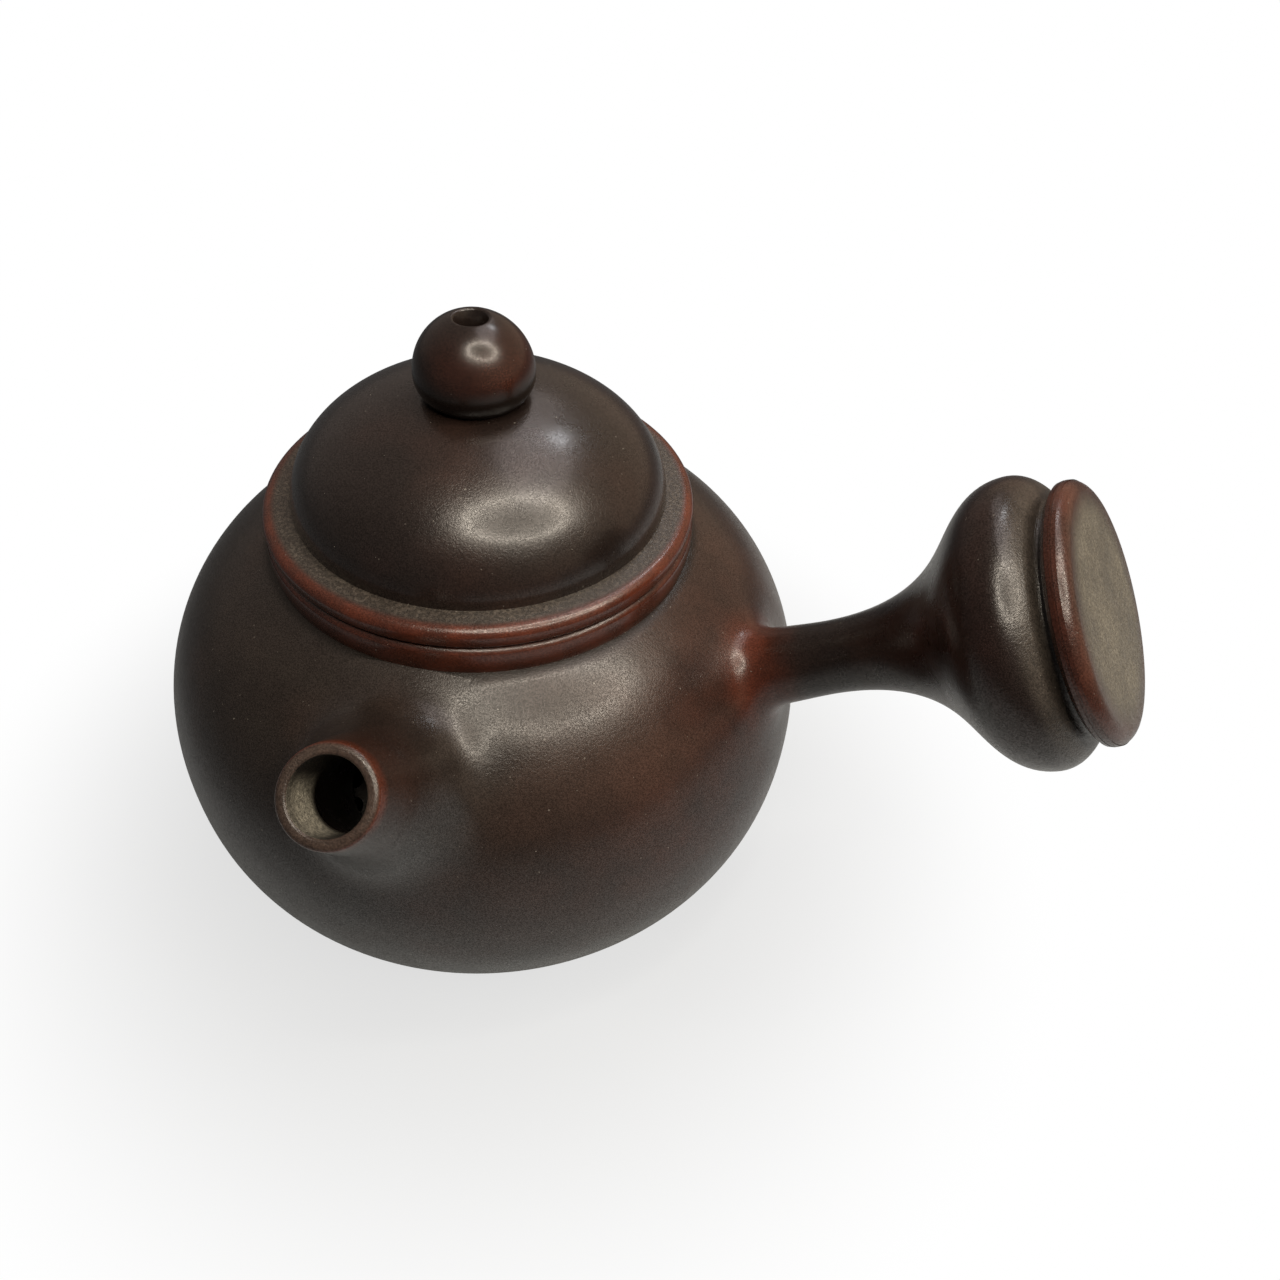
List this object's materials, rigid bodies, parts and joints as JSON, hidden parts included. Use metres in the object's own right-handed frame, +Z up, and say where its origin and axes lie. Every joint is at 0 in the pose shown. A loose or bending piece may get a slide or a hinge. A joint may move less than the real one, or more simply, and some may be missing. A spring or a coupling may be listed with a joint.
{
  "type": "side-handle teapot",
  "caption": "Round thrown clay teapot with a short upturned spout, a bulb-ended side handle that leans up and out, and a lift-off domed lid with a vented ball knob.",
  "frame": {"origin": "centre of the pot's flat underside, on its turning axis", "axes": "+Z up along the turning axis, +X towards the side that the handle leans out to; the spout is 79 degrees clockwise from the handle, seen from above"},
  "size_m": [0.1133, 0.086, 0.0785],
  "materials": {
    "burnished_clay": "dark brown burnished clay, satin",
    "worn_clay": "dark brown burnished clay, red-brown where the edges are rubbed",
    "raw_clay": "unburnished beige-brown clay, matt"
  },
  "bodies": {
    "pot": {"pot_body": "burnished_clay", "mouth_ring": "worn_clay", "spout": "burnished_clay", "strainer": "raw_clay", "handle_grip": "burnished_clay", "handle_end_disc": "worn_clay"},
    "lid": {"lid_plate": "worn_clay", "lid_dome": "burnished_clay", "lid_sleeve": "raw_clay", "knob": "burnished_clay"}
  },
  "joints": [
    {"name": "lid_lift", "type": "slide", "parent": "pot", "child": "lid", "axis": [0, 0, 1], "range_m": [0, 0.06]}
  ]
}
